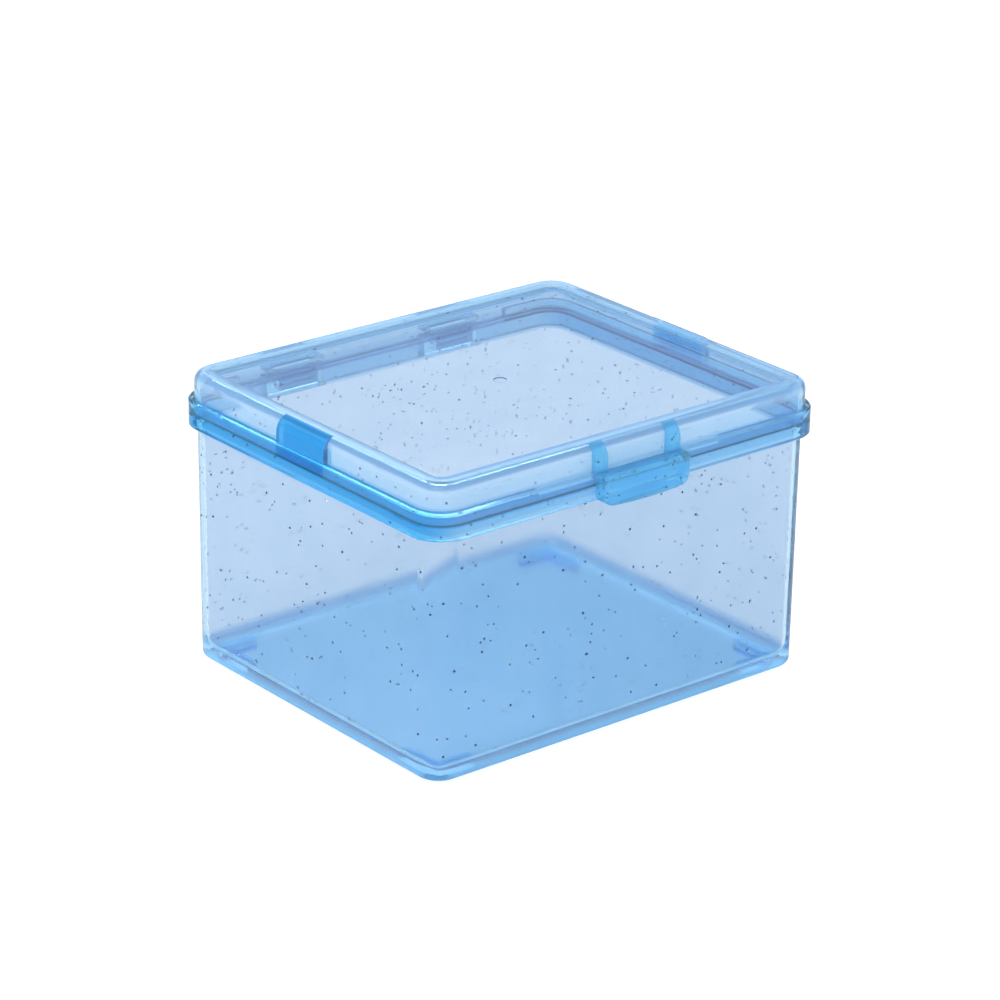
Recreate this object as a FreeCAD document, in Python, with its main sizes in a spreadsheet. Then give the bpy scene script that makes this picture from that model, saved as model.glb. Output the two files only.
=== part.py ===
import FreeCAD, Part
import math
import os

import Sketcher

# Storage box for upright cards: a one-piece box, a lid on two snap hinges and a sprung latch.
# The frame has its origin under the middle of the box, X across the front, Y to the back, Z up.
# Every level is a height above the table and every inset is measured in from the band,
# the widest outline of the closed box. Lengths are in millimetres and angles in degrees.

doc = FreeCAD.newDocument("card_box")

DIMENSIONS = (
    # Overall size and the levels of the band
    ("band_width", 95.0),
    ("band_depth", 80.0),
    ("box_height", 60.0),
    ("band_corner", 7.0),
    ("parting_level", 52.1),
    ("flange_rise", 2.8),
    ("skirt_rise", 2.7),
    # Box
    ("wall_inset", 1.7),
    ("wall_draft", 0.35),
    ("wall_thick", 1.5),
    ("floor_thick", 1.5),
    ("floor_edge", 1.4),
    ("floor_cove", 3.0),
    ("lip_inset", 1.55),
    ("lip_rise", 1.3),
    ("lip_gap", 45.0),
    ("edge_break", 0.25),
    # Feet, which stand inside the recess of a box below
    ("foot_rise", 1.0),
    ("foot_inset", 5.4),
    ("foot_width", 2.4),
    ("foot_across", 9.0),
    ("foot_along", 10.5),
    ("foot_corner", 3.0),
    ("foot_bend", 0.6),
    # Lid
    ("crown_inset", 1.15),
    ("crown_thick", 1.3),
    ("skirt_thick", 1.3),
    ("rim_round", 2.0),
    ("ledge_break", 0.35),
    ("recess_inset", 4.9),
    ("recess_depth", 1.2),
    ("panel_thick", 1.2),
    ("lip_clearance", 0.2),
    ("back_window", 66.0),
    ("gate_radius", 1.3),
    ("gate_depth", 0.2),
    # Side pads
    ("pad_width", 14.4),
    ("pad_thick", 1.0),
    ("pad_end", 2.6),
    # Hinges
    ("hinge_spacing", 38.8),
    ("hinge_width", 13.4),
    ("ear_thick", 2.0),
    ("ear_radius", 1.5),
    ("ear_bottom", 48.8),
    ("ear_corner", 0.6),
    ("axis_behind", 0.5),
    ("axis_below", 0.3),
    ("bar_radius", 0.9),
    ("bore_clearance", 0.05),
    ("knuckle_wall", 0.85),
    ("side_clearance", 0.15),
    ("arm_reach", 1.3),
    ("arm_thick", 1.5),
    ("leaf_thick", 0.85),
    ("mouth_angle", 215.0),
    ("mouth_half", 42.0),
    ("open_angle", 110.0),
    ("stop_clearance", 0.04),
    # Latch
    ("latch_width", 20.6),
    ("strap_width", 3.0),
    ("strap_thick", 1.1),
    ("strap_end", 2.3),
    ("strap_gap", 0.1),
    ("strap_clearance", 0.05),
    ("strap_seam", 0.5),
    ("grip_reach", 3.3),
    ("grip_wall", 1.2),
    ("grip_round", 0.8),
    ("grip_corner", 2.5),
    ("grip_bottom", 48.7),
    ("grip_bow", 0.3),
    ("band_gap", 0.05),
    ("hook_width", 14.0),
    ("hook_bite", 0.8),
    ("hook_gap", 0.1),
    ("hook_tip", 0.3),
)


def make_sheet():
    """Spreadsheet with one row for each driving dimension: its name, then its value."""
    sheet = doc.addObject("Spreadsheet::Sheet", "dims")
    for row, (name, value) in enumerate(DIMENSIONS, start=1):
        sheet.set(f"A{row}", name)
        sheet.set(f"B{row}", str(value))
        sheet.setAlias(f"B{row}", name)
    doc.recompute()
    return sheet


class Size:
    """A length or angle with its value and the sheet expression that it comes from."""

    def __init__(self, text, value):
        self.text = text
        self.value = value

    def __add__(self, other):
        other = as_size(other)
        return Size(f"({self.text} + {other.text})", self.value + other.value)

    def __sub__(self, other):
        other = as_size(other)
        return Size(f"({self.text} - {other.text})", self.value - other.value)

    def __mul__(self, other):
        other = as_size(other)
        return Size(f"({self.text} * {other.text})", self.value * other.value)

    def __truediv__(self, other):
        other = as_size(other)
        return Size(f"({self.text} / {other.text})", self.value / other.value)

    def __neg__(self):
        return self * -1


def as_size(number):
    """A plain number as a Size; a Size is returned as it is."""
    if isinstance(number, Size):
        return number
    return Size(str(number), float(number))


def cosine(angle):
    return Size(f"cos({angle.text})", math.cos(math.radians(angle.value)))


def sine(angle):
    return Size(f"sin({angle.text})", math.sin(math.radians(angle.value)))


def other_leg(long_side, leg):
    """Third side of a right-angled triangle from its long side and one leg."""
    text = f"sqrt({long_side.text} ^ 2 - {leg.text} ^ 2)"
    return Size(text, math.sqrt(long_side.value ** 2 - leg.value ** 2))


def on_circle(centre, radius, angle):
    """Point at an angle on a circle."""
    return (centre[0] + radius * cosine(angle), centre[1] + radius * sine(angle))


class Dimensions:
    """Reads every row of the sheet as a Size, by its name."""

    def __init__(self, sheet):
        for name, _ in DIMENSIONS:
            setattr(self, name, Size(f"dims.{name}", float(sheet.get(name))))


dims = Dimensions(make_sheet())
ZERO = as_size(0)

# Levels and lines that several features share
FLANGE_LEVEL = dims.parting_level - dims.flange_rise
LEDGE_LEVEL = dims.parting_level + dims.skirt_rise
LIP_LEVEL = dims.parting_level + dims.lip_rise
FLOOR_LEVEL = dims.foot_rise + dims.floor_thick
LIP_CEILING = LIP_LEVEL + dims.lip_clearance
PANEL_LEVEL = dims.box_height - dims.recess_depth
CEILING_LEVEL = PANEL_LEVEL - dims.panel_thick
RIM_CENTRE_LEVEL = dims.box_height - dims.rim_round
FRONT = -dims.band_depth / 2
BACK = dims.band_depth / 2
HINGE_Y = BACK + dims.axis_behind
HINGE_Z = dims.parting_level - dims.axis_below
KNUCKLE_RADIUS = dims.bar_radius + dims.bore_clearance + dims.knuckle_wall
KNUCKLE_WIDTH = dims.hinge_width - dims.ear_thick * 2 - dims.side_clearance * 2


def bind(feature, name, size):
    """Sets a property and ties it to the sheet."""
    feature.setExpression(name, size.text)


def new_body(label):
    body = doc.addObject("PartDesign::Body", label)
    body.Label = label
    return body


def origin_plane(body, role):
    for feature in body.Origin.OriginFeatures:
        if feature.Role == role:
            return feature
    raise ValueError(f"no origin plane {role}")


def new_sketch(body, name, role, offset):
    """Sketch on one of the body's own planes, moved out along that plane's normal."""
    sketch = body.newObject("Sketcher::SketchObject", name)
    sketch.AttachmentSupport = [(origin_plane(body, role), "")]
    sketch.MapMode = "FlatFace"
    bind(sketch, ".AttachmentOffset.Base.z", offset)
    return sketch


def name_constraint(sketch, index, name, size):
    sketch.renameConstraint(index, name)
    bind(sketch, f"Constraints.{name}", size)


def band_outline(body, name, level, inset):
    """Rounded rectangle at a level, inside the band's outline by the inset."""
    sketch = new_sketch(body, name, "XY_Plane", level)
    width = dims.band_width - inset * 2
    depth = dims.band_depth - inset * 2
    radius = dims.band_corner - inset
    side_x = width.value / 2
    side_y = depth.value / 2
    corner = radius.value
    up = FreeCAD.Vector(0, 0, 1)
    turns = ((1, -1), (1, 1), (-1, 1), (-1, -1))
    for quarter, (toward_x, toward_y) in enumerate(turns):
        centre = FreeCAD.Vector(toward_x * (side_x - corner), toward_y * (side_y - corner), 0)
        start_angle = math.pi / 2 * (quarter - 1)
        arc = Part.ArcOfCircle(Part.Circle(centre, up, corner), start_angle, start_angle + math.pi / 2)
        sketch.addGeometry(arc)
    for quarter in range(4):
        start = sketch.getPoint(quarter, 2)
        end = sketch.getPoint((quarter + 1) % 4, 1)
        sketch.addGeometry(Part.LineSegment(start, end))
    for quarter in range(4):
        sketch.addConstraint(Sketcher.Constraint("Tangent", quarter, 2, quarter + 4, 1))
        sketch.addConstraint(Sketcher.Constraint("Tangent", quarter + 4, 2, (quarter + 1) % 4, 1))
    for quarter in (0, 2):
        sketch.addConstraint(Sketcher.Constraint("Vertical", quarter + 4))
        sketch.addConstraint(Sketcher.Constraint("Horizontal", quarter + 5))
    for quarter in (1, 2, 3):
        sketch.addConstraint(Sketcher.Constraint("Equal", 0, quarter))
    sketch.addConstraint(Sketcher.Constraint("Symmetric", 4, 1, 6, 1, -1, 1))
    index = sketch.addConstraint(Sketcher.Constraint("DistanceX", 6, 1, 4, 1, width.value))
    name_constraint(sketch, index, "width", width)
    index = sketch.addConstraint(Sketcher.Constraint("DistanceY", 7, 1, 5, 1, depth.value))
    name_constraint(sketch, index, "depth", depth)
    index = sketch.addConstraint(Sketcher.Constraint("Radius", 0, radius.value))
    name_constraint(sketch, index, "corner", radius)
    return sketch


def vector(point):
    return FreeCAD.Vector(point[0].value, point[1].value, 0)


def sweep_arc(start, end, centre, clockwise):
    """Arc between two points, as a sketch holds it, turning one way about its centre."""
    first = (vector(start) - vector(centre))
    last = (vector(end) - vector(centre))
    if clockwise:
        first, last = last, first
    first_angle = math.atan2(first.y, first.x)
    last_angle = math.atan2(last.y, last.x)
    if last_angle <= first_angle:
        last_angle += 2 * math.pi
    circle = Part.Circle(vector(centre), FreeCAD.Vector(0, 0, 1), first.Length)
    return Part.ArcOfCircle(circle, first_angle, last_angle)


def pin(sketch, geometry, position, axis, size):
    """Ties one coordinate of a point to the sheet."""
    constraint = Sketcher.Constraint(f"Distance{axis}", -1, 1, geometry, position, size.value)
    name = f"at_{axis.lower()}_{geometry}_{position}"
    name_constraint(sketch, sketch.addConstraint(constraint), name, size)


def draw_outline(sketch, corners, arcs):
    """Closed outline through the corners, with an arc after each corner that arcs names.

    arcs maps a corner's number to the centre of the arc that leaves it and whether the
    arc runs clockwise. Each corner is tied to the sheet by its two coordinates, and each
    arc's centre by the one coordinate that its two ends leave free.
    """
    first = sketch.GeometryCount
    count = len(corners)
    for number, start in enumerate(corners):
        end = corners[(number + 1) % count]
        if number in arcs:
            centre, clockwise = arcs[number]
            sketch.addGeometry(sweep_arc(start, end, centre, clockwise))
        else:
            sketch.addGeometry(Part.LineSegment(vector(start), vector(end)))
    ends = []
    for number in range(count):
        clockwise = number in arcs and arcs[number][1]
        ends.append((2, 1) if clockwise else (1, 2))
    for number, corner in enumerate(corners):
        edge = first + number
        before = (number - 1) % count
        joint = Sketcher.Constraint("Coincident", first + before, ends[before][1], edge, ends[number][0])
        sketch.addConstraint(joint)
        pin(sketch, edge, ends[number][0], "X", corner[0])
        pin(sketch, edge, ends[number][0], "Y", corner[1])
    for number, (centre, _) in arcs.items():
        chord = vector(corners[(number + 1) % count]) - vector(corners[number])
        if abs(chord.y) >= abs(chord.x):
            pin(sketch, first + number, 3, "X", centre[0])
        else:
            pin(sketch, first + number, 3, "Y", centre[1])


def draw_circle(sketch, centre, radius):
    circle = Part.Circle(vector(centre), FreeCAD.Vector(0, 0, 1), radius.value)
    edge = sketch.addGeometry(circle)
    pin(sketch, edge, 3, "X", centre[0])
    pin(sketch, edge, 3, "Y", centre[1])
    index = sketch.addConstraint(Sketcher.Constraint("Radius", edge, radius.value))
    name_constraint(sketch, index, f"radius_{edge}", radius)


def add_feature(body, kind, name, sketch, length, centred=False, taper=None, reverse=False):
    """Pad or pocket of a sketch; a centred one reaches as far to both sides of it."""
    feature = body.newObject(f"PartDesign::{kind}", name)
    feature.Profile = sketch
    bind(feature, "Length", length)
    if centred:
        feature.SideType = "Symmetric"
    if taper is not None:
        bind(feature, "TaperAngle", taper)
    feature.Reversed = reverse
    sketch.Visibility = False
    doc.recompute()
    return feature


def pad_band(body, name, level, inset, rise, taper=None):
    """Solid of the rounded outline, standing on a level."""
    sketch = band_outline(body, f"{name}_outline", level, inset)
    return add_feature(body, "Pad", name, sketch, rise, taper=taper)


def cut_band(body, name, level, inset, depth, upward=False, taper=None):
    """Pocket of the rounded outline, sunk from a level down, or up from below."""
    sketch = band_outline(body, f"{name}_outline", level, inset)
    return add_feature(body, "Pocket", name, sketch, depth, taper=taper, reverse=upward)


def band_edges(feature, level, inset):
    """Names of the edges of a feature that lie on the rounded outline at a level."""
    side_x = dims.band_width.value / 2 - inset.value
    side_y = dims.band_depth.value / 2 - inset.value
    near = 0.02
    names = []
    for number, edge in enumerate(feature.Shape.Edges, start=1):
        flat = all(abs(vertex.Z - level.value) < near for vertex in edge.Vertexes)
        on_side = all(
            abs(abs(vertex.X) - side_x) < near or abs(abs(vertex.Y) - side_y) < near
            for vertex in edge.Vertexes
        )
        if flat and on_side:
            names.append(f"Edge{number}")
    return names


def round_edges(body, name, base, edges, radius):
    fillet = body.newObject("PartDesign::Fillet", name)
    fillet.Base = (base, edges)
    bind(fillet, "Radius", radius)
    doc.recompute()
    return fillet


def bevel_edges(body, name, base, edges, size):
    bevel = body.newObject("PartDesign::Chamfer", name)
    bevel.Base = (base, edges)
    bind(bevel, "Size", size)
    doc.recompute()
    return bevel


def cut_block(body, name, low, high):
    """Takes a rectangular block out of the body, between two opposite corners."""
    block = body.newObject("PartDesign::SubtractiveBox", name)
    for axis, length, start, end in zip("xyz", ("Length", "Width", "Height"), low, high):
        bind(block, length, end - start)
        bind(block, f".Placement.Base.{axis}", start)
    doc.recompute()
    return block


def mirror_across(body, name, originals, *roles):
    """Repeats features on the far side of each of the body's own planes."""
    repeat = body.newObject("PartDesign::MultiTransform", name)
    mirrors = []
    for role in roles:
        mirror = body.newObject("PartDesign::Mirrored", f"{name}_{role[:2].lower()}")
        mirror.MirrorPlane = (origin_plane(body, role), [""])
        mirrors.append(mirror)
    repeat.Originals = originals
    repeat.Transformations = mirrors
    body.Tip = repeat
    doc.recompute()
    return repeat


def add_box_shell(body):
    """Tapered walls, the flange round the top, the hollow inside and the floor's cove."""
    draft_growth = (dims.parting_level - dims.foot_rise) * sine(dims.wall_draft)
    floor_inset = dims.wall_inset + draft_growth
    wall = pad_band(body, "wall", dims.foot_rise, floor_inset,
                    dims.parting_level - dims.foot_rise, dims.wall_draft)
    round_edges(body, "floor_round", wall, band_edges(wall, dims.foot_rise, floor_inset),
                dims.floor_edge)
    flange = pad_band(body, "flange", FLANGE_LEVEL, ZERO, dims.flange_rise)
    flange_edges = band_edges(flange, FLANGE_LEVEL, ZERO) + band_edges(flange, dims.parting_level, ZERO)
    bevel_edges(body, "flange_break", flange, flange_edges, dims.edge_break)
    lip = pad_band(body, "lip", dims.parting_level, dims.lip_inset, dims.lip_rise)
    bevel_edges(body, "lip_lead", lip, band_edges(lip, LIP_LEVEL, dims.lip_inset), dims.edge_break)
    hollow = cut_band(body, "hollow", LIP_LEVEL, dims.wall_inset + dims.wall_thick,
                      LIP_LEVEL - FLOOR_LEVEL, taper=-dims.wall_draft)
    cove_inset = (dims.band_width / 2).value - max(
        vertex.X for vertex in hollow.Shape.Vertexes if abs(vertex.Z - FLOOR_LEVEL.value) < 0.001
    )
    round_edges(body, "floor_cove", hollow, band_edges(hollow, FLOOR_LEVEL, as_size(cove_inset)),
                dims.floor_cove)


def cut_lip_gap(body):
    """The lip stops on both sides of the latch."""
    half = dims.lip_gap / 2
    low = (-half, FRONT, dims.parting_level)
    high = (half, FRONT + dims.wall_inset + dims.wall_thick * 2, LIP_LEVEL)
    cut_block(body, "lip_gap", low, high)


def add_feet(body):
    """Four angle-shaped ribs under the corners of the floor."""
    sketch = new_sketch(body, "foot_outline", "XY_Plane", ZERO)
    side = dims.band_width / 2 - dims.foot_inset
    back = dims.band_depth / 2 - dims.foot_inset
    half = dims.foot_width / 2
    end_x = side - dims.foot_across + half
    end_y = back - dims.foot_along + half
    inner_x = side - dims.foot_width
    inner_y = back - dims.foot_width
    corners = [
        (side, back - dims.foot_corner),
        (side - dims.foot_corner, back),
        (end_x, back),
        (end_x, inner_y),
        (inner_x - dims.foot_bend, inner_y),
        (inner_x, inner_y - dims.foot_bend),
        (inner_x, end_y),
        (side, end_y),
    ]
    arcs = {
        0: ((side - dims.foot_corner, back - dims.foot_corner), False),
        2: ((end_x, back - half), False),
        4: ((inner_x - dims.foot_bend, inner_y - dims.foot_bend), True),
        6: ((side - half, end_y), False),
    }
    draw_outline(sketch, corners, arcs)
    foot = add_feature(body, "Pad", "foot", sketch, dims.foot_rise)
    mirror_across(body, "feet", [foot], "YZ_Plane", "XZ_Plane")


def stop_level():
    """Height of the web's back edge, which the lid's arm meets a little past its widest opening."""
    reach = dims.arm_reach + dims.stop_clearance
    drop = (reach - dims.ear_radius * cosine(dims.open_angle)) / sine(dims.open_angle)
    return HINGE_Z - drop


def add_hinge_ears(body):
    """Two ears and the web below them, with the bar that the lid's knuckle snaps over."""
    middle = dims.hinge_spacing / 2
    root_y = BACK - dims.wall_inset - dims.wall_thick / 2
    rear_y = HINGE_Y + dims.ear_radius
    front_y = HINGE_Y - dims.ear_radius
    sketch = new_sketch(body, "ear_outline", "YZ_Plane", middle)
    corners = [
        (root_y, dims.ear_bottom),
        (rear_y - dims.ear_corner, dims.ear_bottom),
        (rear_y, dims.ear_bottom + dims.ear_corner),
        (rear_y, HINGE_Z),
        (front_y, HINGE_Z),
        (root_y, HINGE_Z),
    ]
    arcs = {
        1: ((rear_y - dims.ear_corner, dims.ear_bottom + dims.ear_corner), False),
        3: ((HINGE_Y, HINGE_Z), False),
    }
    draw_outline(sketch, corners, arcs)
    block = add_feature(body, "Pad", "ear_block", sketch, dims.hinge_width, centred=True)
    half_slot = dims.hinge_width / 2 - dims.ear_thick
    low = (middle - half_slot, BACK - dims.wall_inset + dims.side_clearance, stop_level())
    high = (middle + half_slot, rear_y + dims.ear_radius, HINGE_Z + dims.ear_radius * 2)
    slot = cut_block(body, "ear_slot", low, high)
    sketch = new_sketch(body, "bar_outline", "YZ_Plane", middle)
    draw_circle(sketch, (HINGE_Y, HINGE_Z), dims.bar_radius)
    bar_length = dims.hinge_width - dims.ear_thick
    bar = add_feature(body, "Pad", "bar", sketch, bar_length, centred=True)
    mirror_across(body, "ears", [block, slot, bar], "YZ_Plane")


def make_box_body():
    body = new_body("box_body")
    add_box_shell(body)
    cut_lip_gap(body)
    add_feet(body)
    add_hinge_ears(body)
    return body


def add_lid_shell(body):
    """Skirt, crown and rounded rim, hollow below, with the stacking recess on top."""
    skirt = pad_band(body, "skirt", dims.parting_level, ZERO, dims.skirt_rise)
    ledge = bevel_edges(body, "ledge_break", skirt, band_edges(skirt, LEDGE_LEVEL, ZERO),
                        dims.ledge_break)
    bevel_edges(body, "parting_break", ledge, band_edges(ledge, dims.parting_level, ZERO),
                dims.edge_break)
    crown = pad_band(body, "crown", LEDGE_LEVEL, dims.crown_inset, dims.box_height - LEDGE_LEVEL)
    round_edges(body, "rim_round", crown, band_edges(crown, dims.box_height, dims.crown_inset),
                dims.rim_round)
    recess = cut_band(body, "recess", dims.box_height, dims.recess_inset, dims.recess_depth)
    bevel_edges(body, "recess_break", recess,
                band_edges(recess, dims.box_height, dims.recess_inset), dims.edge_break)
    inner_inset = dims.crown_inset + dims.crown_thick
    cut_band(body, "hollow", dims.parting_level, inner_inset,
             CEILING_LEVEL - dims.parting_level, upward=True)
    cut_band(body, "lip_room", dims.parting_level, dims.skirt_thick,
             LIP_CEILING - dims.parting_level, upward=True)


def add_rim_channel(body):
    """Channel under the rim, so that the rim is about as thick as the panel."""
    inner_inset = dims.crown_inset + dims.crown_thick
    sketch = band_outline(body, "channel_outline", CEILING_LEVEL, inner_inset)
    channel = add_feature(body, "Pocket", "channel", sketch, dims.recess_depth, reverse=True)
    edges = band_edges(channel, PANEL_LEVEL, inner_inset)
    bevel_edges(body, "channel_slope", channel, edges, dims.rim_round - dims.crown_thick)
    island_inset = dims.recess_inset - dims.panel_thick
    pad_band(body, "panel", CEILING_LEVEL, island_inset, dims.panel_thick)


def add_gate_mark(body):
    """Shallow round mark in the middle of the panel, where the mould was filled."""
    sketch = new_sketch(body, "gate_outline", "XY_Plane", PANEL_LEVEL)
    circle = Part.Circle(FreeCAD.Vector(0, 0, 0), FreeCAD.Vector(0, 0, 1), dims.gate_radius.value)
    sketch.addGeometry(circle)
    sketch.addConstraint(Sketcher.Constraint("Coincident", 0, 3, -1, 1))
    index = sketch.addConstraint(Sketcher.Constraint("Radius", 0, dims.gate_radius.value))
    name_constraint(sketch, index, "gate_radius", dims.gate_radius)
    add_feature(body, "Pocket", "gate_mark", sketch, dims.gate_depth)


def add_side_pads(body):
    """Raised pads up both short sides, which run out into the rim."""
    face = dims.band_width / 2 - dims.crown_inset
    outer = face + dims.pad_thick
    radius = dims.rim_round + dims.pad_thick
    centre = (outer - radius, dims.box_height - radius)
    end_x = dims.band_width / 2 - dims.pad_end
    end_z = centre[1] + other_leg(radius, end_x - centre[0])
    root_x = face - dims.crown_thick / 2
    sketch = new_sketch(body, "pad_outline", "XZ_Plane", ZERO)
    corners = [
        (root_x, LEDGE_LEVEL),
        (outer, LEDGE_LEVEL),
        (outer, centre[1]),
        (end_x, end_z),
        (end_x, RIM_CENTRE_LEVEL),
        (root_x, RIM_CENTRE_LEVEL),
    ]
    draw_outline(sketch, corners, {2: (centre, False)})
    pad = add_feature(body, "Pad", "side_pad", sketch, dims.pad_width, centred=True)
    mirror_across(body, "side_pads", [pad], "YZ_Plane")


def cut_back_window(body):
    """The skirt is left off behind, so that it swings clear of the flange."""
    crown_y = BACK - dims.crown_inset
    skirt_y = BACK - dims.skirt_thick - dims.lip_clearance
    outside = BACK + dims.crown_inset
    sketch = new_sketch(body, "window_outline", "YZ_Plane", ZERO)
    corners = [
        (skirt_y, dims.parting_level),
        (outside, dims.parting_level),
        (outside, LEDGE_LEVEL),
        (crown_y, LEDGE_LEVEL),
        (crown_y, LIP_CEILING),
        (skirt_y, LIP_CEILING),
    ]
    draw_outline(sketch, corners, {})
    add_feature(body, "Pocket", "back_window", sketch, dims.back_window, centred=True)


def add_hinge_leaf(body):
    """Leaf over both ears, as wide as the hinge, that carries the arm of the knuckle."""
    arm_y = HINGE_Y + dims.arm_reach
    root_y = BACK - dims.crown_inset - dims.crown_thick / 2
    low_z = LEDGE_LEVEL - dims.leaf_thick
    sketch = new_sketch(body, "leaf_outline", "YZ_Plane", dims.hinge_spacing / 2)
    corners = [
        (root_y, low_z),
        (arm_y, low_z),
        (arm_y, LEDGE_LEVEL - dims.ledge_break),
        (arm_y - dims.ledge_break, LEDGE_LEVEL),
        (root_y, LEDGE_LEVEL),
    ]
    draw_outline(sketch, corners, {})
    return add_feature(body, "Pad", "leaf", sketch, dims.hinge_width, centred=True)


def add_knuckle(body):
    """Arm with an open ring that snaps over the bar."""
    centre = (HINGE_Y, HINGE_Z)
    bore = dims.bar_radius + dims.bore_clearance
    lower = dims.mouth_angle + dims.mouth_half
    upper = dims.mouth_angle - dims.mouth_half
    rear_y = HINGE_Y + dims.arm_reach
    front_y = rear_y - dims.arm_thick
    top_z = LEDGE_LEVEL - dims.leaf_thick / 2
    front_leg = other_leg(KNUCKLE_RADIUS, dims.arm_thick - dims.arm_reach)
    sketch = new_sketch(body, "knuckle_outline", "YZ_Plane", dims.hinge_spacing / 2)
    corners = [
        (rear_y, top_z),
        (rear_y, HINGE_Z + other_leg(KNUCKLE_RADIUS, dims.arm_reach)),
        on_circle(centre, KNUCKLE_RADIUS, lower),
        on_circle(centre, bore, lower),
        on_circle(centre, bore, upper),
        on_circle(centre, KNUCKLE_RADIUS, upper),
        (front_y, HINGE_Z + front_leg),
        (front_y, top_z),
    ]
    arcs = {
        1: (centre, True),
        3: (centre, False),
        5: (centre, True),
    }
    draw_outline(sketch, corners, arcs)
    return add_feature(body, "Pad", "knuckle", sketch, KNUCKLE_WIDTH, centred=True)


def cut_strap_seat(body):
    """Notches in the ledge, through which the latch's straps pass."""
    middle = (dims.latch_width - dims.strap_width) / 2
    half = dims.strap_width / 2 + dims.strap_gap
    low = (middle - half, FRONT - dims.strap_gap, LIP_CEILING)
    high = (middle + half, FRONT + dims.crown_inset, LEDGE_LEVEL)
    seat = cut_block(body, "strap_seat", low, high)
    mirror_across(body, "strap_seats", [seat], "YZ_Plane")


def make_lid():
    body = new_body("lid")
    add_lid_shell(body)
    add_rim_channel(body)
    add_gate_mark(body)
    add_side_pads(body)
    cut_back_window(body)
    leaf = add_hinge_leaf(body)
    knuckle = add_knuckle(body)
    mirror_across(body, "hinges", [leaf, knuckle], "YZ_Plane")
    cut_strap_seat(body)
    return body


def add_straps(body):
    """Two straps, fixed at the lid's rim, that run down its wall and step out to the grip."""
    face = FRONT + dims.crown_inset - dims.strap_clearance
    outer = face - dims.strap_thick
    inner_radius = dims.rim_round + dims.strap_clearance
    radius = inner_radius + dims.strap_thick
    rim_y = face + inner_radius
    outer_z = dims.box_height - radius
    end_y = FRONT + dims.strap_end
    end_leg = rim_y - end_y
    end_low = RIM_CENTRE_LEVEL + other_leg(dims.rim_round, end_leg)
    seam_y = end_y - dims.strap_seam
    seam_leg = rim_y - seam_y
    seam_low = RIM_CENTRE_LEVEL + other_leg(dims.rim_round, seam_leg)
    seam_high = RIM_CENTRE_LEVEL + other_leg(inner_radius, seam_leg)
    end_high = outer_z + other_leg(radius, end_leg)
    step_low = LIP_CEILING + dims.band_gap
    step_y = FRONT - dims.grip_wall
    sketch = new_sketch(body, "strap_outline", "YZ_Plane", (dims.latch_width - dims.strap_width) / 2)
    corners = [
        (end_y, end_low),
        (end_y, end_high),
        (outer, outer_z),
        (outer, LEDGE_LEVEL),
        (step_y, LEDGE_LEVEL),
        (step_y, step_low),
        (face, step_low),
        (face, RIM_CENTRE_LEVEL),
        (seam_y, seam_high),
        (seam_y, seam_low),
    ]
    arcs = {
        1: ((rim_y, outer_z), False),
        7: ((rim_y, RIM_CENTRE_LEVEL), True),
        9: ((rim_y, RIM_CENTRE_LEVEL), True),
    }
    draw_outline(sketch, corners, arcs)
    strap = add_feature(body, "Pad", "strap", sketch, dims.strap_width, centred=True)
    mirror_across(body, "straps", [strap], "YZ_Plane")


def add_grip(body):
    """Finger grip in front of the band: a rounded tray, open at the back, with a bowed lower edge."""
    half = dims.latch_width / 2
    corner_x = half - dims.grip_corner
    corner_z = dims.grip_bottom + dims.grip_corner
    bow_radius = (corner_x * corner_x / dims.grip_bow + dims.grip_bow) / 2
    bow_z = dims.grip_bottom - dims.grip_bow + bow_radius
    sketch = new_sketch(body, "grip_outline", "XZ_Plane", BACK + dims.band_gap)
    corners = [
        (half, LEDGE_LEVEL),
        (-half, LEDGE_LEVEL),
        (-half, corner_z),
        (-corner_x, dims.grip_bottom),
        (corner_x, dims.grip_bottom),
        (half, corner_z),
    ]
    arcs = {
        2: ((-corner_x, corner_z), False),
        3: ((ZERO, bow_z), False),
        4: ((corner_x, corner_z), False),
    }
    draw_outline(sketch, corners, arcs)
    grip = add_feature(body, "Pad", "grip", sketch, dims.grip_reach - dims.band_gap)
    front = (FRONT - dims.grip_reach).value
    edges = []
    for number, edge in enumerate(grip.Shape.Edges, start=1):
        if all(abs(vertex.Y - front) < 0.001 for vertex in edge.Vertexes):
            edges.append(f"Edge{number}")
    round_edges(body, "grip_round", grip, edges, dims.grip_round)


def cut_grip_tray(body):
    """Hollow of the grip, open toward the band."""
    half = dims.latch_width / 2 - dims.grip_wall
    low_z = FLANGE_LEVEL - dims.hook_gap
    low = (-half, FRONT - dims.grip_reach + dims.grip_wall, low_z)
    high = (half, FRONT, LEDGE_LEVEL - dims.grip_wall)
    cut_block(body, "grip_tray", low, high)


def add_hook(body):
    """Hook that reaches in under the flange, bevelled below so that it rides over on closing."""
    top_z = FLANGE_LEVEL - dims.hook_gap
    tip_y = FRONT + dims.hook_bite
    root_y = FRONT - dims.grip_wall
    sketch = new_sketch(body, "hook_outline", "YZ_Plane", ZERO)
    corners = [
        (root_y, top_z),
        (root_y, dims.grip_bottom),
        (FRONT, dims.grip_bottom),
        (tip_y, top_z - dims.hook_tip),
        (tip_y, top_z),
    ]
    draw_outline(sketch, corners, {})
    add_feature(body, "Pad", "hook", sketch, dims.hook_width, centred=True)


def make_latch_clip():
    body = new_body("latch_clip")
    add_grip(body)
    cut_grip_tray(body)
    add_straps(body)
    add_hook(body)
    return body


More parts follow.
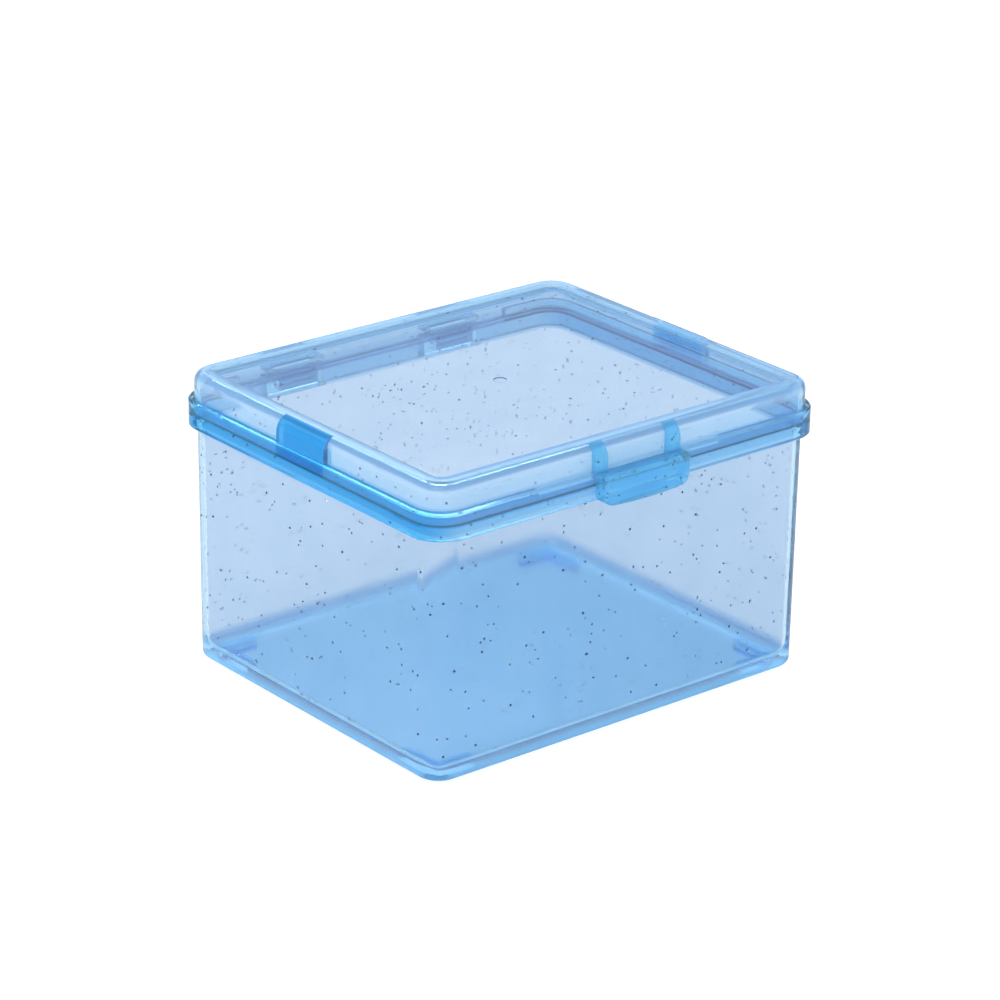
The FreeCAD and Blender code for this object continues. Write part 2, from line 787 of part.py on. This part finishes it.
def export(bodies):
    """Checks the whole document, then writes one file for each body."""
    doc.recompute()
    for item in doc.Objects:
        if "Invalid" in item.State or "Error" in item.State:
            raise RuntimeError(f"{item.Label} did not build: {item.State}")
    for body in bodies:
        if body.Shape.isNull() or not body.Shape.isValid():
            raise RuntimeError(f"{body.Label} has no valid shape")
    os.makedirs("parts", exist_ok=True)
    for body in bodies:
        body.Shape.exportStep(f"parts/{body.Label}.step")
        box = body.Shape.BoundBox
        print(body.Label, round(body.Shape.Volume, 1), len(body.Shape.Solids),
              [round(value, 2) for value in (box.XMin, box.XMax, box.YMin, box.YMax, box.ZMin, box.ZMax)])


export([make_box_body(), make_lid(), make_latch_clip()])
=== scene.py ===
import math
import random

import bmesh
import bpy
from mathutils import Matrix, Vector
from mathutils.bvhtree import BVHTree


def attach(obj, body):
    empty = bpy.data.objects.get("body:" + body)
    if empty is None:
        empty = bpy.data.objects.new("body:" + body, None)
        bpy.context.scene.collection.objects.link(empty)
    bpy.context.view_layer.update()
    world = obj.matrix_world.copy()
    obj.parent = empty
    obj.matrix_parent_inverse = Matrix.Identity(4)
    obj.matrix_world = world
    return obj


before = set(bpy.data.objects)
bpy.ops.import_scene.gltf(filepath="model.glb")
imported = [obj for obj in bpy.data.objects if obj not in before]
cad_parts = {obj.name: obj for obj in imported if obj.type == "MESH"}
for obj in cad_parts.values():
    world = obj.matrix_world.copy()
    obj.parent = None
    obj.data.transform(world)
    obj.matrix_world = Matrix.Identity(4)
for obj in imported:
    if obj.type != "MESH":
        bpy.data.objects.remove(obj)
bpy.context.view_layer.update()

MM = 0.001

# Camera, as the photograph was taken: angles in degrees, lengths in millimetres
VIEW_AZIMUTH = -39.6
VIEW_ELEVATION = 22.0
VIEW_ROLL = 0.9
VIEW_DISTANCE = 748.6
VIEW_TARGET = (0.0, 0.0, 30.0)
VIEW_SLIDE_RIGHT = 0.40
VIEW_SLIDE_UP = 3.82
SENSOR_WIDTH = 36.0
VIEW_LENS = 139.95

# Nearest and furthest that the camera sees, in metres
VIEW_NEAR = 0.01
VIEW_FAR = 20.0

# Light: a bright table and tent, with two soft lamps that draw the highlights.
# Each lamp has its place and its side in metres, and its power in watts.
WHITE = (1.0, 1.0, 1.0)
SKY_STRENGTH = 1.0
LAMPS = (
    ("key_lamp", (-0.75, -0.35, 0.75), 0.30, 3.2),
    ("back_lamp", (0.45, 0.75, 0.65), 0.40, 2.0),
)
LIGHT_BOUNCES = 32

# Table: half its width in metres, and how far it lies below the feet in millimetres
FLOOR_HALF_WIDTH = 4.0
FLOOR_DROP = 0.02
FLOOR_SHADE = (0.3, 0.3, 0.3)
FLOOR_ROUGHNESS = 0.8
FLOOR_GLOW = 0.85

# Plastic: most of the tint lies on its faces, and the absorption makes thick places deeper
PLASTIC_IOR = 1.16
ABSORPTION_BLUE = (0.20, 0.78, 0.97)
DENSITY = 80.0
PALE_TINTS = ((0.70, 0.76, 0.865), (0.74, 0.79, 0.885))
LATCH_TINTS = ((0.31, 0.75, 1.0), (0.36, 0.79, 1.0))
RIM_TINT = (0.58, 0.76, 0.92)
RIM_TOP_TINT = (0.40, 0.65, 0.91)
BAND_TINT = (0.34, 0.62, 0.88)
SIDE_BAND_TINT = (0.06, 0.42, 0.80)
SIDE_SKIRT_TINT = (0.18, 0.60, 0.92)
HINGE_TINT = (0.66, 0.90, 1.0)
PAD_TINT = (0.05, 0.40, 0.80)
# Painted shade: a deeper blue on the box's floor, for the coloured shadow that the plastic casts on
# the table beneath, seen through the floor
BOX_FLOOR_PAINTED_SHADE = (0.42, 0.75, 0.98)
EDGE_TINT = (0.29, 0.66, 1.0)
FOOT_TINT = (0.13, 0.52, 0.95)

# Share of the light that passes through a face, and how rough the face is
BOX_CLEARNESS = 0.94
FLOOR_CLEARNESS = 0.80
FOOT_CLEARNESS = 0.46
LID_CLEARNESS = 0.96
EDGE_CLEARNESS = 0.78
RIM_CLEARNESS = 0.66
HINGE_CLEARNESS = 0.88
LATCH_CLEARNESS = 0.82
BOX_ROUGHNESS = 0.12
LID_ROUGHNESS = 0.05

# Unevenness of the plastic: the noise that moves tint and roughness between their two ends,
# and the slight waves of a moulded face, with their height in millimetres
CLOUD_SCALE = 90.0
CLOUD_DETAIL = 3.0
CLOUD_SPREAD = (0.3, 0.7)
ROUGHNESS_SHARES = (0.6, 1.4)
RIPPLE_SCALE = 35.0
RIPPLE_DETAIL = 1.0
RIPPLE_STRENGTH = 0.08
RIPPLE_HEIGHT = 0.05

# Places on the plastic: each line across an axis, in millimetres, with the side of it that is
# meant, near the middle or away from it, and how far it fades
UNDER = True
BEYOND = False
BAND_FADE = 0.1
CORNER_FADE = 3.0
RIM_FADE = 0.3
SHOULDER_FADE = 0.5
COVE_FADE = 1.2
FLOOR_FADE = 0.3
FOOT_FADE = 0.2
BOX_BAND = ("Z", 49.3, BEYOND, BAND_FADE)
LID_SKIRT = ("Z", 54.8, UNDER, BAND_FADE)
SIDES = ("X", 44.0, BEYOND, CORNER_FADE)
RIM_ACROSS = ("X", 42.6, BEYOND, RIM_FADE)
RIM_ALONG = ("Y", 35.1, BEYOND, RIM_FADE)
RIM_TOP = ("Z", 58.9, BEYOND, RIM_FADE)
RIM_SHOULDER = ("Z", 57.6, BEYOND, SHOULDER_FADE)
HINGES = ("Y", 40.2, BEYOND, BAND_FADE)
PAD_FACE = (("X", 44.9, BEYOND, BAND_FADE), ("Y", 7.2, UNDER, BAND_FADE))
FLOOR_LEVEL = ("Z", 3.6, UNDER, COVE_FADE)
FLOOR_INSIDE = (
    ("Z", 2.9, UNDER, FLOOR_FADE),
    ("X", 45.3, UNDER, FLOOR_FADE),
    ("Y", 37.8, UNDER, FLOOR_FADE),
)
FOOT_CORNERS = (
    ("Z", 2.9, UNDER, FOOT_FADE),
    ("X", 42.1, UNDER, FOOT_FADE),
    ("Y", 34.6, UNDER, FOOT_FADE),
)
FOOT_ARM_ALONG = (("X", 39.7, BEYOND, FOOT_FADE), ("Y", 24.1, BEYOND, FOOT_FADE))
FOOT_ARM_ACROSS = (("X", 33.1, BEYOND, FOOT_FADE), ("Y", 32.2, BEYOND, FOOT_FADE))

# Where the plastic is deeper in colour, where the box's floor holds painted shade, and where it is
# cloudier; later lines lie over earlier ones
BOX_ZONES = (
    (BAND_TINT, (BOX_BAND,)),
    (SIDE_BAND_TINT, (BOX_BAND, SIDES)),
    (HINGE_TINT, (BOX_BAND, HINGES)),
    (EDGE_TINT, (FLOOR_LEVEL,)),
    # Painted shade on the box's floor, inside the walls
    (BOX_FLOOR_PAINTED_SHADE, FLOOR_INSIDE),
    (FOOT_TINT, FOOT_CORNERS + FOOT_ARM_ALONG),
    (FOOT_TINT, FOOT_CORNERS + FOOT_ARM_ACROSS),
)
BOX_CLOUDS = (
    (EDGE_CLEARNESS, (BOX_BAND,)),
    (HINGE_CLEARNESS, (BOX_BAND, HINGES)),
    (FOOT_CLEARNESS, (FLOOR_LEVEL,)),
    (FLOOR_CLEARNESS, FLOOR_INSIDE),
)
LID_ZONES = (
    (RIM_TINT, (RIM_ACROSS,)),
    (RIM_TINT, (RIM_ALONG,)),
    (RIM_TOP_TINT, (RIM_ACROSS, RIM_TOP)),
    (RIM_TOP_TINT, (RIM_ALONG, RIM_TOP)),
    (BAND_TINT, (LID_SKIRT,)),
    (SIDE_SKIRT_TINT, (LID_SKIRT, SIDES)),
    (PAD_TINT, PAD_FACE),
    (HINGE_TINT, (HINGES,)),
)
LID_CLOUDS = (
    (EDGE_CLEARNESS, (RIM_ACROSS,)),
    (EDGE_CLEARNESS, (RIM_ALONG,)),
    (RIM_CLEARNESS, (RIM_ACROSS, RIM_SHOULDER)),
    (RIM_CLEARNESS, (RIM_ALONG, RIM_SHOULDER)),
    (HINGE_CLEARNESS, (HINGES,)),
)

# Flakes moulded into the plastic, in millimetres: the depth is that of a flake's middle
FLAKE_SEED = 7
FLAKE_RADIUS = (0.16, 0.28)
FLAKE_THICKNESS = 0.24
FLAKE_TILT = 0.4
FLAKE_SIDES = 6
FLAKE_DEPTH = (0.22, 0.9)
BRIGHT_SHARE = 0.12

# Each node with flakes: its body, its slot, and how many are tried
FLAKED = (
    ("box_body", "box", "box_plastic", 1250),
    ("lid", "lid", "lid_plastic", 400),
    ("latch_clip", "latch", "latch_plastic", 34),
)

# Looks of the flakes: two shades, metallic share and roughness
DARK = 0
BRIGHT = 1
FLAKE_LOOKS = (
    ("dark_flake", ((0.0, 0.02, 0.09), (0.0, 0.05, 0.18)), 0.0, 0.6),
    ("bright_flake", ((0.75, 0.8, 0.9), (0.95, 0.97, 1.0)), 0.7, 0.2),
)
FLAKE_SPECULAR = 0.1
SHADE_SCALE = 400.0
SHADE_DETAIL = 0.0
SHADE_SPREAD = (0.35, 0.65)


def view_axes(azimuth, elevation, roll):
    """Right, up and back directions of a camera at an azimuth, an elevation and a roll."""
    back = Vector((
        math.sin(azimuth) * math.cos(elevation),
        -math.cos(azimuth) * math.cos(elevation),
        math.sin(elevation),
    ))
    level_right = Vector((math.cos(azimuth), math.sin(azimuth), 0.0))
    level_up = back.cross(level_right)
    right = level_right * math.cos(roll) + level_up * math.sin(roll)
    up = level_up * math.cos(roll) - level_right * math.sin(roll)
    return right, up, back


def make_camera():
    """Camera at the photograph's viewing angle."""
    angles = (math.radians(angle) for angle in (VIEW_AZIMUTH, VIEW_ELEVATION, VIEW_ROLL))
    right, up, back = view_axes(*angles)
    target = Vector(VIEW_TARGET) + right * VIEW_SLIDE_RIGHT + up * VIEW_SLIDE_UP
    place = (target + back * VIEW_DISTANCE) * MM
    data = bpy.data.cameras.new("camera")
    data.sensor_width = SENSOR_WIDTH
    data.lens = VIEW_LENS
    data.clip_start = VIEW_NEAR
    data.clip_end = VIEW_FAR
    camera = bpy.data.objects.new("camera", data)
    bpy.context.scene.collection.objects.link(camera)
    turn = Matrix((right, up, back)).transposed().to_4x4()
    camera.matrix_world = Matrix.Translation(place) @ turn
    bpy.context.scene.camera = camera


def make_sky():
    """Even white light from all sides, as in a light tent."""
    world = bpy.data.worlds.new("sky")
    world.use_nodes = True
    background = world.node_tree.nodes["Background"]
    background.inputs["Color"].default_value = (*WHITE, 1.0)
    background.inputs["Strength"].default_value = SKY_STRENGTH
    bpy.context.scene.world = world


def set_light_paths():
    """Colours as they are, and enough bounces for light to cross all the walls."""
    scene = bpy.context.scene
    scene.view_settings.view_transform = "Standard"
    scene.cycles.max_bounces = LIGHT_BOUNCES
    scene.cycles.glossy_bounces = LIGHT_BOUNCES
    scene.cycles.transmission_bounces = LIGHT_BOUNCES


def make_lamps():
    """Square soft lamps, each aimed at the middle of the box."""
    for name, place, side, power in LAMPS:
        data = bpy.data.lights.new(name, "AREA")
        data.size = side
        data.energy = power
        lamp = bpy.data.objects.new(name, data)
        lamp.location = place
        aim = Vector(VIEW_TARGET) * MM - lamp.location
        lamp.rotation_euler = aim.to_track_quat("-Z", "Y").to_euler()
        bpy.context.scene.collection.objects.link(lamp)


def new_material(name):
    """New material with its nodes, its links and its shader."""
    material = bpy.data.materials.new(name)
    material.use_nodes = True
    nodes = material.node_tree.nodes
    return material, nodes, material.node_tree.links, nodes["Principled BSDF"]


def make_floor():
    """Wide white table that glows a little, as a lit one does."""
    mesh = bpy.data.meshes.new("floor")
    half = FLOOR_HALF_WIDTH
    low = -FLOOR_DROP * MM
    corners = [(-half, -half, low), (half, -half, low), (half, half, low), (-half, half, low)]
    mesh.from_pydata(corners, [], [(0, 1, 2, 3)])
    floor = bpy.data.objects.new("floor", mesh)
    bpy.context.scene.collection.objects.link(floor)
    material, _, _, shader = new_material("floor_paper")
    shader.inputs["Base Color"].default_value = (*FLOOR_SHADE, 1.0)
    shader.inputs["Roughness"].default_value = FLOOR_ROUGHNESS
    shader.inputs["Emission Color"].default_value = (*WHITE, 1.0)
    shader.inputs["Emission Strength"].default_value = FLOOR_GLOW
    mesh.materials.append(material)


def noise(nodes, links, scale, detail):
    """Noise over the object's own coordinates."""
    place = nodes.new("ShaderNodeTexCoord")
    texture = nodes.new("ShaderNodeTexNoise")
    texture.inputs["Scale"].default_value = scale
    texture.inputs["Detail"].default_value = detail
    links.new(place.outputs["Object"], texture.inputs["Vector"])
    return texture.outputs["Fac"]


def ramp(nodes, links, source, spread, colours):
    """Goes from the first colour to the second as the source crosses the spread."""
    node = nodes.new("ShaderNodeValToRGB")
    for element, position, colour in zip(node.color_ramp.elements, spread, colours):
        element.position = position
        element.color = (*colour, 1.0)
    links.new(source, node.inputs["Fac"])
    return node.outputs["Color"]


def side_mask(nodes, links, axis, line, under, fade):
    """1 on one side of a line across an axis; both directions along the axis count alike."""
    place = nodes.new("ShaderNodeTexCoord")
    parts = nodes.new("ShaderNodeSeparateXYZ")
    links.new(place.outputs["Object"], parts.inputs["Vector"])
    size = nodes.new("ShaderNodeMath")
    size.operation = "ABSOLUTE"
    links.new(parts.outputs[axis], size.inputs[0])
    mask = nodes.new("ShaderNodeMapRange")
    low, high = (line - fade) * MM, (line + fade) * MM
    mask.inputs["From Min"].default_value = high if under else low
    mask.inputs["From Max"].default_value = low if under else high
    links.new(size.outputs[0], mask.inputs["Value"])
    return mask.outputs["Result"]


def zone_mask(nodes, links, sides):
    """1 where all the sides of a zone hold."""
    whole = side_mask(nodes, links, *sides[0])
    for side in sides[1:]:
        both = nodes.new("ShaderNodeMath")
        both.operation = "MULTIPLY"
        links.new(whole, both.inputs[0])
        links.new(side_mask(nodes, links, *side), both.inputs[1])
        whole = both.outputs[0]
    return whole


def tint_zones(nodes, links, colour, zones):
    """Lays the tint of each zone over the colour."""
    for tint, sides in zones:
        deepen = nodes.new("ShaderNodeMix")
        deepen.data_type = "RGBA"
        links.new(zone_mask(nodes, links, sides), deepen.inputs["Factor"])
        links.new(colour, deepen.inputs["A"])
        deepen.inputs["B"].default_value = (*tint, 1.0)
        colour = deepen.outputs["Result"]
    return colour


def cloud_zones(nodes, links, shader, zones):
    """Sets the share of the light that passes through in each zone."""
    through = shader.inputs["Transmission Weight"]
    below = None
    for clearness, sides in zones:
        share = nodes.new("ShaderNodeMapRange")
        links.new(zone_mask(nodes, links, sides), share.inputs["Value"])
        share.inputs["To Min"].default_value = through.default_value
        if below:
            links.new(below, share.inputs["To Min"])
        share.inputs["To Max"].default_value = clearness
        below = share.outputs["Result"]
        links.new(below, through)


def add_ripple(nodes, links, shader):
    """Slight waviness of a moulded face."""
    bump = nodes.new("ShaderNodeBump")
    bump.inputs["Strength"].default_value = RIPPLE_STRENGTH
    bump.inputs["Distance"].default_value = RIPPLE_HEIGHT * MM
    links.new(noise(nodes, links, RIPPLE_SCALE, RIPPLE_DETAIL), bump.inputs["Height"])
    links.new(bump.outputs["Normal"], shader.inputs["Normal"])


def add_depth(nodes, links):
    """Blue absorption inside the plastic."""
    depth = nodes.new("ShaderNodeVolumeAbsorption")
    depth.inputs["Color"].default_value = (*ABSORPTION_BLUE, 1.0)
    depth.inputs["Density"].default_value = DENSITY
    links.new(depth.outputs["Volume"], nodes["Material Output"].inputs["Volume"])


def clear_plastic(name, tints, clearness, roughness, zones=(), clouds=()):
    """See-through moulded plastic: a cloudy tint, deeper or cloudier in the zones, where painted
    shade can lie too.
    """
    material, nodes, links, shader = new_material(name)
    shader.inputs["Transmission Weight"].default_value = clearness
    shader.inputs["IOR"].default_value = PLASTIC_IOR
    cloud = noise(nodes, links, CLOUD_SCALE, CLOUD_DETAIL)
    tint = ramp(nodes, links, cloud, CLOUD_SPREAD, tints)
    links.new(tint_zones(nodes, links, tint, zones), shader.inputs["Base Color"])
    greys = [(roughness * share,) * 3 for share in ROUGHNESS_SHARES]
    links.new(ramp(nodes, links, cloud, CLOUD_SPREAD, greys), shader.inputs["Roughness"])
    cloud_zones(nodes, links, shader, clouds)
    add_ripple(nodes, links, shader)
    add_depth(nodes, links)
    return material


def flake_material(name, shades, metal, roughness):
    """Flake, a little different in shade from one to the next."""
    material, nodes, links, shader = new_material(name)
    spread = noise(nodes, links, SHADE_SCALE, SHADE_DETAIL)
    links.new(ramp(nodes, links, spread, SHADE_SPREAD, shades), shader.inputs["Base Color"])
    shader.inputs["Metallic"].default_value = metal
    shader.inputs["Roughness"].default_value = roughness
    shader.inputs["Specular IOR Level"].default_value = FLAKE_SPECULAR
    return material


def surface_points(mesh, count, draw):
    """Random points on a mesh, evenly by area, each with the face's outward normal."""
    mesh.calc_loop_triangles()
    triangles = list(mesh.loop_triangles)
    weights = [triangle.area for triangle in triangles]
    points = []
    for triangle in draw.choices(triangles, weights, k=count):
        a, b, c = (mesh.vertices[i].co for i in triangle.vertices)
        across = math.sqrt(draw.random())
        along = draw.random()
        point = a * (1 - across) + b * (across * (1 - along)) + c * (across * along)
        points.append((point, Vector(triangle.normal)))
    return points


def is_inside(skin, point):
    """True where the point lies behind the face of the skin that is nearest to it."""
    near, normal, _, _ = skin.find_nearest(point)
    return (point - near).dot(normal) < 0


def flake_points(centre, normal, radius, draw):
    """Rim and both tips of a flake, tilted a little against the wall that holds it."""
    tilt = Vector([draw.gauss(0, FLAKE_TILT) for _ in range(3)])
    axis = (normal + tilt).normalized()
    turn = axis.to_track_quat("Z", "Y").to_matrix()
    rim = []
    for corner in range(FLAKE_SIDES):
        angle = 2 * math.pi / FLAKE_SIDES * corner
        rim.append(centre + turn @ Vector((math.cos(angle), math.sin(angle), 0)) * radius)
    tips = [centre + axis * side * FLAKE_THICKNESS * MM / 2 for side in (-1, 1)]
    return rim, tips


def add_flake(shape, rim, tips, look):
    """Closed flake that is pointed to both sides."""
    corners = [shape.verts.new(point) for point in rim]
    for side, point in zip((-1, 1), tips):
        tip = shape.verts.new(point)
        for corner in range(FLAKE_SIDES):
            edge = (corners[corner], corners[(corner + 1) % FLAKE_SIDES])
            face = shape.faces.new((*edge[::side], tip))
            face.material_index = look


def flake_mesh(node, count, draw):
    """Flakes in the plastic of one node. A flake that would stick out is left out."""
    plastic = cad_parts[node].data
    points = [vertex.co for vertex in plastic.vertices]
    skin = BVHTree.FromPolygons(points, [face.vertices for face in plastic.polygons])
    shape = bmesh.new()
    for point, normal in surface_points(plastic, count, draw):
        depth = draw.uniform(*FLAKE_DEPTH) * MM
        radius = draw.uniform(*FLAKE_RADIUS) * MM
        look = BRIGHT if draw.random() < BRIGHT_SHARE else DARK
        rim, tips = flake_points(point - normal * depth, normal, radius, draw)
        if all(is_inside(skin, place) for place in rim + tips):
            add_flake(shape, rim, tips, look)
    mesh = bpy.data.meshes.new(f"{node}_flakes")
    shape.to_mesh(mesh)
    shape.free()
    return mesh


def make_flakes(node, body, count, materials, draw):
    """Flakes of one node, as a piece that rides on its body."""
    mesh = flake_mesh(node, count, draw)
    for material in materials:
        mesh.materials.append(material)
    piece = bpy.data.objects.new(f"{node}_flakes", mesh)
    bpy.context.scene.collection.objects.link(piece)
    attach(piece, body)


def dress(node, material):
    """Gives a node its material."""
    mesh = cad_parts[node].data
    mesh.materials.clear()
    mesh.materials.append(material)


make_camera()
make_sky()
set_light_paths()
make_lamps()
make_floor()
dress("box_body", clear_plastic(
    "box_plastic", PALE_TINTS, BOX_CLEARNESS, BOX_ROUGHNESS, BOX_ZONES, BOX_CLOUDS))
dress("lid", clear_plastic(
    "lid_plastic", PALE_TINTS, LID_CLEARNESS, LID_ROUGHNESS, LID_ZONES, LID_CLOUDS))
dress("latch_clip", clear_plastic("latch_plastic", LATCH_TINTS, LATCH_CLEARNESS, LID_ROUGHNESS))
flake_materials = [flake_material(*look) for look in FLAKE_LOOKS]
draw = random.Random(FLAKE_SEED)
for node, body, slot, count in FLAKED:
    make_flakes(node, body, count, flake_materials, draw)
